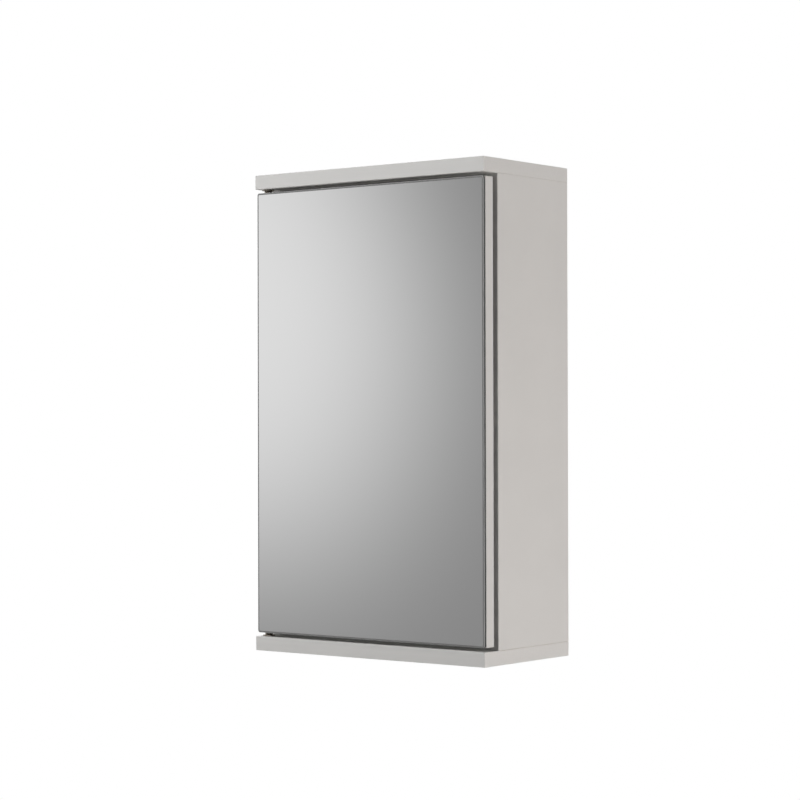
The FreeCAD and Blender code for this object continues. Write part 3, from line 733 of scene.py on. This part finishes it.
def toward(point, direction):
    """A placing that puts the origin at a point and Z along a direction."""
    return Matrix.Translation(point) @ direction.to_track_quat("Z", "Y").to_matrix().to_4x4()


def quarter_turn(steps):
    """Cosine and sine at even steps through a right angle."""
    angles = [math.pi / 2 * i / steps for i in range(steps + 1)]
    return [(math.cos(a), math.sin(a)) for a in angles]


def screw_shank(hardware, tip):
    """Rows of a pointed and threaded screw shank, from its tip to under its head at 0."""
    radius = hardware.screw_width / 2
    count = round(-tip / hardware.thread_pitch * THREAD_STEPS)
    rows = [(tip, 0, 0)]
    for i in range(1, count):
        along = tip * (1 - i / count)
        share = min(1, (along - tip) / hardware.screw_point)
        rows.append((along, radius * share, hardware.thread_depth * share))
    return rows


def pan_head(hardware, radius):
    """Rows of a pan head: a short rim, a round shoulder and a flat top."""
    rim = PAN_RIM * hardware.pan_height
    top = PAN_FLAT * radius
    rows = [(0, radius, 0)]
    for cosine, sine in quarter_turn(2 * hardware.round_steps):
        rows.append((rim + (hardware.pan_height - rim) * sine, top + (radius - top) * cosine, 0))
    return rows + [(hardware.pan_height, 0, 0)]


def cross_recess(shape, place, hardware, top):
    """Add the tool for a screw head's cross recess, narrowing towards its bottom."""
    arm = hardware.recess_width / 2
    half = hardware.recess_slot / 2
    outline = []
    for x, y in ((1, 0), (0, 1), (-1, 0), (0, -1)):
        for out, across in ((arm, -half), (arm, half), (half, half)):
            outline.append((x * out - y * across, y * out + x * across))
    above = 0.5 * MM
    narrow = 0.6
    rings = []
    for share, z in ((1, top + above), (narrow, top - hardware.recess_depth)):
        rings.append([shape.verts.new(place @ Vector((x * share, y * share, z))) for x, y in outline])
        shape.faces.new(rings[-1])
    upper, lower = rings
    for i, start in enumerate(upper):
        shape.faces.new((upper[i - 1], start, lower[i], lower[i - 1]))


def pin_flanges(hardware):
    """The flanges that seat the pivot pins on the faces of the top and bottom panels."""
    shape = bmesh.new()
    faces = ((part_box("top_panel")[0].z, -1), (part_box("bottom_panel")[1].z, 1))
    radius = hardware.flange_width / 2
    depth = hardware.flange_depth
    rim = hardware.turned_round
    # The flange stands a hair off the panel, so that its face and the end of the pin's collar stay two planes
    start = 0.02 * MM
    rows = [(start, 0, 0), (start, radius, 0)]
    for cosine, sine in quarter_turn(hardware.round_steps):
        rows.append((depth - rim * (1 - sine), radius - rim * (1 - cosine), 0))
    rows.append((depth, 0, 0))
    for low, high in solid_boxes("pivot_pins"):
        z, way = min(faces, key=lambda face: abs(face[0] - (low.z + high.z) / 2))
        seat = Vector(((low.x + high.x) / 2, (low.y + high.y) / 2, z))
        turn(shape, toward(seat, Vector((0, 0, way))), rows, hardware.turned_steps)
    return shape


def bent_strip(shape, hardware, box, face, way):
    """Add a shelf support's sheet: a plate on the board, bent out to a lip, with round corners."""
    low, high = box
    middle = (low.y + high.y) / 2
    half = (high.y - low.y) / 2
    reach = (high.x if way > 0 else low.x) - face
    inside = hardware.support_bend
    outside = inside + hardware.support_sheet
    corner = hardware.support_corner
    bend_z = high.z - outside
    bend_x = face + way * outside
    bend = quarter_turn(2 * hardware.round_steps)
    rounding = [(corner * (1 - c), half - corner * (1 - s)) for c, s in bend]
    sheet = way * hardware.support_sheet
    stations = [((face, low.z + up), (face + sheet, low.z + up), wide) for up, wide in rounding]
    for c, s in bend:
        points = [(bend_x - way * r * c, bend_z + r * s) for r in (outside, inside)]
        stations.append((*points, half))
    for back, wide in reversed(rounding):
        x = face + reach - way * back
        stations.append(((x, high.z), (x, high.z - hardware.support_sheet), wide))
    rings = []
    for (outer_x, outer_z), (inner_x, inner_z), wide in stations:
        outline = (
            (outer_x, -wide, outer_z), (outer_x, wide, outer_z),
            (inner_x, wide, inner_z), (inner_x, -wide, inner_z),
        )
        rings.append([shape.verts.new((x, middle + y, z)) for x, y, z in outline])
    shape.faces.new(rings[0])
    shape.faces.new(rings[-1])
    for near, far in zip(rings, rings[1:]):
        for i in range(len(near)):
            shape.faces.new((near[i - 1], near[i], far[i], far[i - 1]))


def pressed_supports(hardware):
    """The shelf supports: bent sheet with a round stud at the back."""
    sheets = bmesh.new()
    studs = bmesh.new()
    inner_faces = ((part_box("left_side_panel")[1].x, 1), (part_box("right_side_panel")[0].x, -1))
    for box in solid_boxes("shelf_supports"):
        low, high = box
        face, way = inner_faces[0] if low.x < 0 else inner_faces[1]
        bent_strip(sheets, hardware, box, face, way)
        radius = hardware.stud_width / 2
        bevel = hardware.stud_bevel
        tip = face - low.x if way > 0 else high.x - face
        root = -hardware.support_sheet / 2
        rows = [
            (root, 0, 0), (root, radius, 0), (tip - bevel, radius, 0), (tip, radius - bevel, 0), (tip, 0, 0),
        ]
        axis = Vector((face, (low.y + high.y) / 2, high.z - hardware.support_rise))
        turn(studs, toward(axis, Vector((-way, 0, 0))), rows, hardware.turned_steps)
    round_edges(sheets, hardware.sheet_round, hardware.round_steps)
    return combined(sheets, studs, "UNION")


class CABINET_OT_boards(bpy.types.Operator):
    """Finish the boards: melamine faces, and raw chipboard where no edge band covers it"""

    bl_idname = "cabinet.boards"
    bl_label = "Boards"

    def execute(self, context):
        finishes = context.scene.cabinet_finishes
        finish_nodes(melamine_faced_chipboard(finishes, "Z"), "top_panel", "bottom_panel")
        finish_nodes(melamine_faced_chipboard(finishes, "X"), "left_side_panel", "right_side_panel")
        finish_nodes(melamine_faced_chipboard(finishes, "Y"), "hanging_rail", "door_board")
        return {"FINISHED"}


class CABINET_OT_edge_bands(bpy.types.Operator):
    """Finish the edge bands of the boards"""

    bl_idname = "cabinet.edge_bands"
    bl_label = "Edge bands"

    def execute(self, context):
        finishes = context.scene.cabinet_finishes
        finish_nodes(abs_edge_band(finishes, "X"), "top_panel_edging", "bottom_panel_edging")
        finish_nodes(abs_edge_band(finishes, "Z"), "left_side_edging", "right_side_edging", "door_edging")
        return {"FINISHED"}


class CABINET_OT_back(bpy.types.Operator):
    """Finish the hardboard back"""

    bl_idname = "cabinet.back"
    bl_label = "Back"

    def execute(self, context):
        finish_nodes(lacquered_hardboard(context.scene.cabinet_finishes), "back_panel")
        return {"FINISHED"}


class CABINET_OT_dowels(bpy.types.Operator):
    """Finish the corner and rail dowels"""

    bl_idname = "cabinet.dowels"
    bl_label = "Dowels"

    def execute(self, context):
        finishes = context.scene.cabinet_finishes
        finish_nodes(turned_beech(finishes, "Z"), "corner_dowels")
        finish_nodes(turned_beech(finishes, "X"), "rail_dowels")
        return {"FINISHED"}


class CABINET_OT_mirror(bpy.types.Operator):
    """Finish the mirror and the tape that holds it"""

    bl_idname = "cabinet.mirror"
    bl_label = "Mirror"

    def execute(self, context):
        finishes = context.scene.cabinet_finishes
        finish_nodes(silvered_mirror(finishes), "mirror_glass")
        finish_nodes(foam_tape(finishes), "mirror_tape")
        return {"FINISHED"}


class CABINET_OT_pivots(bpy.types.Operator):
    """Make the turned pivot pins and the moulded bushes that they run in"""

    bl_idname = "cabinet.pivots"
    bl_label = "Pivots"

    def execute(self, context):
        finishes = context.scene.cabinet_finishes
        hardware = context.scene.cabinet_hardware
        pins = rounded_shape("pivot_pins", hardware.turned_round, hardware.round_steps)
        pins = combined(pins, pin_flanges(hardware), "UNION")
        place_piece("turned_pivot_pins", pins, bright_turned_steel(finishes), CARCASS, "pivot_pins")
        bushes = rounded_shape("pivot_bushes", hardware.bush_round, hardware.round_steps)
        nylon = moulded_plastic(
            "Moulded nylon", finishes.nylon, finishes, roughness=0.42, softness=0.3, grain=0.7 * MM
        )
        place_piece("moulded_pivot_bushes", bushes, nylon, DOOR, "pivot_bushes")
        return {"FINISHED"}


class CABINET_OT_shelves(bpy.types.Operator):
    """Finish the glass shelves and make their pressed supports and soft pads"""

    bl_idname = "cabinet.shelves"
    bl_label = "Shelves"

    def execute(self, context):
        finishes = context.scene.cabinet_finishes
        hardware = context.scene.cabinet_hardware
        finish_nodes(float_glass_shelf(finishes), "upper_shelf", "lower_shelf")
        nickel = plated_steel(
            "Nickel-plated pressed steel", finishes.nickel, shine=(0.16, 0.30), grain=3 * MM
        )
        place_piece("pressed_shelf_supports", pressed_supports(hardware), nickel, CARCASS, "shelf_supports")
        pads = rounded_shape("shelf_pads", hardware.pad_round, hardware.round_steps)
        place_piece("soft_shelf_pads", pads, clear_soft_pvc(finishes), CARCASS, "shelf_pads")
        return {"FINISHED"}


class CABINET_OT_catch(bpy.types.Operator):
    """Make the magnet catch on the side panel, with its screws"""

    bl_idname = "cabinet.catch"
    bl_label = "Catch"

    def execute(self, context):
        finishes = context.scene.cabinet_finishes
        hardware = context.scene.cabinet_hardware
        housing = rounded_shape("catch_housing", hardware.moulded_round, hardware.round_steps)
        plastic = moulded_plastic(
            "Moulded ABS", finishes.catch_white, finishes, roughness=0.36, softness=0.1, grain=0.8 * MM
        )
        place_piece("moulded_catch_housing", housing, plastic, CARCASS, "catch_housing")
        finish_nodes(sintered_ferrite(finishes), "catch_magnet")
        zinc = plated_steel("Zinc-plated steel", finishes.zinc, shine=(0.26, 0.42), grain=2 * MM)
        poles = rounded_shape("catch_poles", hardware.sheet_round, hardware.round_steps)
        place_piece("ground_catch_poles", poles, zinc, CARCASS, "catch_poles")
        screws = bmesh.new()
        recesses = bmesh.new()
        for low, high in solid_boxes("catch_screws"):
            seat = (low + high) / 2
            seat.x = low.x + hardware.pan_height
            place = toward(seat, Vector((-1, 0, 0)))
            rows = screw_shank(hardware, seat.x - high.x) + pan_head(hardware, (high.y - low.y) / 2)
            turn(screws, place, rows, hardware.turned_steps, hardware.thread_pitch)
            cross_recess(recesses, place, hardware, hardware.pan_height)
        screws = combined(screws, recesses, "DIFFERENCE")
        place_piece("pan_head_catch_screws", screws, zinc, CARCASS, "catch_screws")
        return {"FINISHED"}


class CABINET_OT_strike(bpy.types.Operator):
    """Make the strike plate on the door's back, with its screw"""

    bl_idname = "cabinet.strike"
    bl_label = "Strike plate"

    def execute(self, context):
        finishes = context.scene.cabinet_finishes
        hardware = context.scene.cabinet_hardware
        zinc = plated_steel("Zinc-plated sheet", finishes.zinc, shine=(0.24, 0.38), grain=4 * MM)
        plate = rounded_shape("strike_plate", hardware.sheet_round, hardware.round_steps)
        place_piece("pressed_strike_plate", plate, zinc, DOOR, "strike_plate")
        low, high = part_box("strike_screw")
        sheet_low, sheet_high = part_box("strike_plate")
        sheet = sheet_high.y - sheet_low.y
        seat = (low + high) / 2
        seat.y = sheet_low.y
        place = toward(seat, Vector((0, 1, 0)))
        head = [(0, hardware.screw_width / 2, 0), (sheet, (high.x - low.x) / 2, 0), (sheet, 0, 0)]
        screw = bmesh.new()
        rows = screw_shank(hardware, low.y - seat.y) + head
        turn(screw, place, rows, hardware.turned_steps, hardware.thread_pitch)
        recess = bmesh.new()
        cross_recess(recess, place, hardware, sheet)
        screw = combined(screw, recess, "DIFFERENCE")
        place_piece("countersunk_strike_screw", screw, zinc, DOOR, "strike_screw")
        return {"FINISHED"}


def softbox(name, location, target, width, height, power, tint=WHITE):
    """A flat lamp that lights the cabinet softly and isn't seen itself."""
    lamp = bpy.data.lights.new(name, "AREA")
    lamp.shape = "RECTANGLE"
    lamp.size = width
    lamp.size_y = height
    lamp.energy = power
    lamp.color = tint[:3]
    holder = bpy.data.objects.new(name, lamp)
    holder.location = location
    holder.rotation_euler = (target - location).to_track_quat("-Z", "Y").to_euler()
    for ray in ("camera", "glossy", "transmission"):
        setattr(holder, f"visible_{ray}", False)
    bpy.context.scene.collection.objects.link(holder)


def studio_world(stage):
    """White to the camera, an even faint light on the cabinet, and a pale room in polished pieces."""
    world = bpy.data.worlds.new("Studio")
    world.use_nodes = True
    tree = world.node_tree
    ray = add(tree, "ShaderNodeLightPath")
    seen = add(
        tree, "ShaderNodeMath", {0: ray.outputs["Is Camera Ray"], 1: ray.outputs["Is Transmission Ray"]},
        operation="MAXIMUM",
    )
    place = add(tree, "ShaderNodeTexCoord")
    direction = add(tree, "ShaderNodeSeparateXYZ", {0: place.outputs["Generated"]})
    low, high = ROOM_HEIGHTS
    dim, bright = ROOM_TONES
    room = add(
        tree, "ShaderNodeMapRange",
        {
            "Value": direction.outputs["Z"], "From Min": low, "From Max": high, "To Min": dim,
            "To Max": bright,
        },
    )
    even = add(tree, "ShaderNodeBackground", {"Color": WHITE, "Strength": stage.ambient})
    polished = add(tree, "ShaderNodeBackground", {"Color": WHITE, "Strength": room})
    white = add(tree, "ShaderNodeBackground", {"Color": WHITE, "Strength": 1})
    lighting = add(tree, "ShaderNodeMixShader", {0: ray.outputs["Is Glossy Ray"], 1: even, 2: polished})
    whole = add(tree, "ShaderNodeMixShader", {0: seen, 1: lighting, 2: white})
    feed(tree, tree.nodes["World Output"], {"Surface": whole})
    bpy.context.scene.world = world


def flat_sheet(name, width, height):
    """A flat rectangle of the stage."""
    mesh = bpy.data.meshes.new(name)
    x = width / 2
    y = height / 2
    mesh.from_pydata([(-x, -y, 0), (x, -y, 0), (x, y, 0), (-x, y, 0)], [], [(0, 1, 2, 3)])
    sheet = bpy.data.objects.new(name, mesh)
    bpy.context.scene.collection.objects.link(sheet)
    return sheet


def pale_floor(stage):
    """A pale floor well below the cabinet, fading out to white, or in the mirror to the room's tone."""
    floor = flat_sheet("floor", FLOOR_SIDE, FLOOR_SIDE)
    floor.location = (0, 0, CAD_BOX[0].z - stage.floor_drop)
    material, tree, shader, place = new_finish("Painted studio floor")
    at = place["Object"]
    scuff = add(tree, "ShaderNodeTexNoise", {"Vector": at, "Scale": 1 / stage.floor_scuff, "Detail": 3})
    rough = add(tree, "ShaderNodeMapRange", {"Value": scuff, "To Min": 0.75, "To Max": 0.9})
    feed(tree, shader, {"Base Color": stage.floor_pale, "Roughness": rough})
    away = add(tree, "ShaderNodeVectorMath", {0: at}, operation="LENGTH")
    fade = add(
        tree, "ShaderNodeMapRange",
        {
            "Value": away.outputs["Value"], "From Min": stage.floor_fade_start,
            "From Max": stage.floor_fade_end, "To Min": stage.floor_lift,
        },
        interpolation_type="SMOOTHSTEP",
    )
    ray = add(tree, "ShaderNodeLightPath")
    reflected = ray.outputs["Is Glossy Ray"]
    through = add(
        tree, "ShaderNodeMath", {0: reflected, 1: ray.outputs["Is Transmission Ray"]}, operation="MAXIMUM"
    )
    seen = add(tree, "ShaderNodeMath", {0: ray.outputs["Is Camera Ray"], 1: through}, operation="MAXIMUM")
    faded = add(tree, "ShaderNodeMath", {0: fade, 1: seen}, operation="MULTIPLY")
    low, high = ROOM_HEIGHTS
    dim, bright = ROOM_TONES
    horizon = dim - (bright - dim) * low / (high - low)
    glow = add(tree, "ShaderNodeMapRange", {"Value": reflected, "To Min": 1, "To Max": horizon})
    distant = add(tree, "ShaderNodeEmission", {"Color": WHITE, "Strength": glow})
    whole = add(tree, "ShaderNodeMixShader", {0: faded, 1: shader, 2: distant})
    feed(tree, tree.nodes["Material Output"], {"Surface": whole})
    floor.data.materials.append(material)


def mirror_card(stage):
    """The card that the mirror shows to the camera, lit at one end and falling off to grey."""
    low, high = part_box("mirror_glass")
    middle = (low + high) / 2
    middle.y = low.y
    look = Euler(stage.camera_turn).to_matrix() @ Vector((0, 0, -1))
    image = Vector((look.x, -look.y, look.z))
    card = flat_sheet("mirror_card", CARD_SIDE, CARD_SIDE)
    card.location = middle + image * stage.card_distance
    card.rotation_euler = (-image).to_track_quat("Z", "Y").to_euler()
    for ray in ("camera", "diffuse", "shadow", "transmission", "volume_scatter"):
        setattr(card, f"visible_{ray}", False)
    material, tree, shader, place = new_finish("Graded card")
    tree.nodes.remove(shader)
    from_lit_end = add(
        tree, "ShaderNodeMapping",
        {
            "Vector": place["Object"], "Location": (*CARD_LIT_AT, 0), "Rotation": (0, 0, CARD_LEAN),
            "Scale": (*CARD_SPREAD, 1),
        },
        vector_type="TEXTURE",
    )
    squared = add(tree, "ShaderNodeVectorMath", {0: from_lit_end, 1: from_lit_end}, operation="DOT_PRODUCT")
    depth = add(tree, "ShaderNodeMath", {0: squared.outputs["Value"], 1: CARD_PLATEAU}, operation="POWER")
    below = add(tree, "ShaderNodeMath", {0: depth, 1: -1}, operation="MULTIPLY")
    lit = add(tree, "ShaderNodeMath", {0: below}, operation="EXPONENT")
    tone = add(
        tree, "ShaderNodeMix",
        {0: lit, MIX_A: stage.card_dark, MIX_B: stage.card_bright}, data_type="RGBA",
    )
    glow = add(tree, "ShaderNodeEmission", {"Color": tone.outputs[MIX_RESULT], "Strength": 1})
    from_middle = add(tree, "ShaderNodeVectorMath", {0: place["Object"]}, operation="LENGTH")
    end = CARD_SIDE / 2
    thin = add(
        tree, "ShaderNodeMapRange",
        {"Value": from_middle.outputs["Value"], "From Min": CARD_THINS_FROM * end, "From Max": end},
        interpolation_type="SMOOTHSTEP",
    )
    clear = add(tree, "ShaderNodeBsdfTransparent")
    feathered = add(tree, "ShaderNodeMixShader", {0: thin, 1: glow, 2: clear})
    feed(tree, tree.nodes["Material Output"], {"Surface": feathered})
    card.data.materials.append(material)


class CABINET_OT_stage(bpy.types.Operator):
    """Set up the camera, the floor, the soft lamps and the card that shows in the mirror"""

    bl_idname = "cabinet.stage"
    bl_label = "Stage"

    def execute(self, context):
        stage = context.scene.cabinet_stage
        camera = bpy.data.objects.new("camera", bpy.data.cameras.new("camera"))
        camera.data.lens = stage.lens
        camera.location = stage.camera_place
        camera.rotation_euler = stage.camera_turn
        context.scene.collection.objects.link(camera)
        context.scene.camera = camera
        context.scene.view_settings.view_transform = "Standard"
        centre = (CAD_BOX[0] + CAD_BOX[1]) / 2
        for name, (place, width, height) in LAMPS.items():
            tint = stage.fill_tint if name == "fill" else WHITE
            softbox(name, Vector(place), centre, width, height, getattr(stage, f"{name}_power"), tint)
        # A lamp just in front of the back panel stands for the light that bounces round the shut inside,
        # so the gaps are dark grey and not black
        low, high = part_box("back_panel")
        place = Vector((centre.x, low.y - MM, centre.z))
        inside = (high - low) - 2 * Vector((BACK_GROOVE, 0, BACK_GROOVE))
        softbox("inside", place, place - Vector((0, 1, 0)), inside.x, inside.z, stage.inside_power)
        studio_world(stage)
        pale_floor(stage)
        mirror_card(stage)
        return {"FINISHED"}


class CABINET_PT_sidebar(bpy.types.Panel):
    """The cabinet's operators and settings"""

    bl_idname = "CABINET_PT_sidebar"
    bl_label = "Mirror Cabinet"
    bl_space_type = "VIEW_3D"
    bl_region_type = "UI"
    bl_category = "Cabinet"

    def draw(self, context):
        for operator in OPERATORS:
            self.layout.operator(operator.bl_idname)
        for group in SETTINGS:
            settings = getattr(context.scene, group)
            for name in settings.__annotations__:
                self.layout.prop(settings, name)


SETTINGS = {
    "cabinet_finishes": CabinetFinishes,
    "cabinet_hardware": CabinetHardware,
    "cabinet_stage": CabinetStage,
}
OPERATORS = (
    CABINET_OT_stage,
    CABINET_OT_boards,
    CABINET_OT_edge_bands,
    CABINET_OT_back,
    CABINET_OT_dowels,
    CABINET_OT_mirror,
    CABINET_OT_pivots,
    CABINET_OT_shelves,
    CABINET_OT_catch,
    CABINET_OT_strike,
)


def register():
    for group, kind in SETTINGS.items():
        bpy.utils.register_class(kind)
        setattr(bpy.types.Scene, group, PointerProperty(type=kind))
    for kind in (*OPERATORS, CABINET_PT_sidebar):
        bpy.utils.register_class(kind)


def unregister():
    for kind in reversed((*OPERATORS, CABINET_PT_sidebar)):
        bpy.utils.unregister_class(kind)
    for group, kind in SETTINGS.items():
        delattr(bpy.types.Scene, group)
        bpy.utils.unregister_class(kind)


def main():
    register()
    bpy.ops.cabinet.stage()
    bpy.ops.cabinet.boards()
    bpy.ops.cabinet.edge_bands()
    bpy.ops.cabinet.back()
    bpy.ops.cabinet.dowels()
    bpy.ops.cabinet.mirror()
    bpy.ops.cabinet.pivots()
    bpy.ops.cabinet.shelves()
    bpy.ops.cabinet.catch()
    bpy.ops.cabinet.strike()


if __name__ == "__main__":
    main()
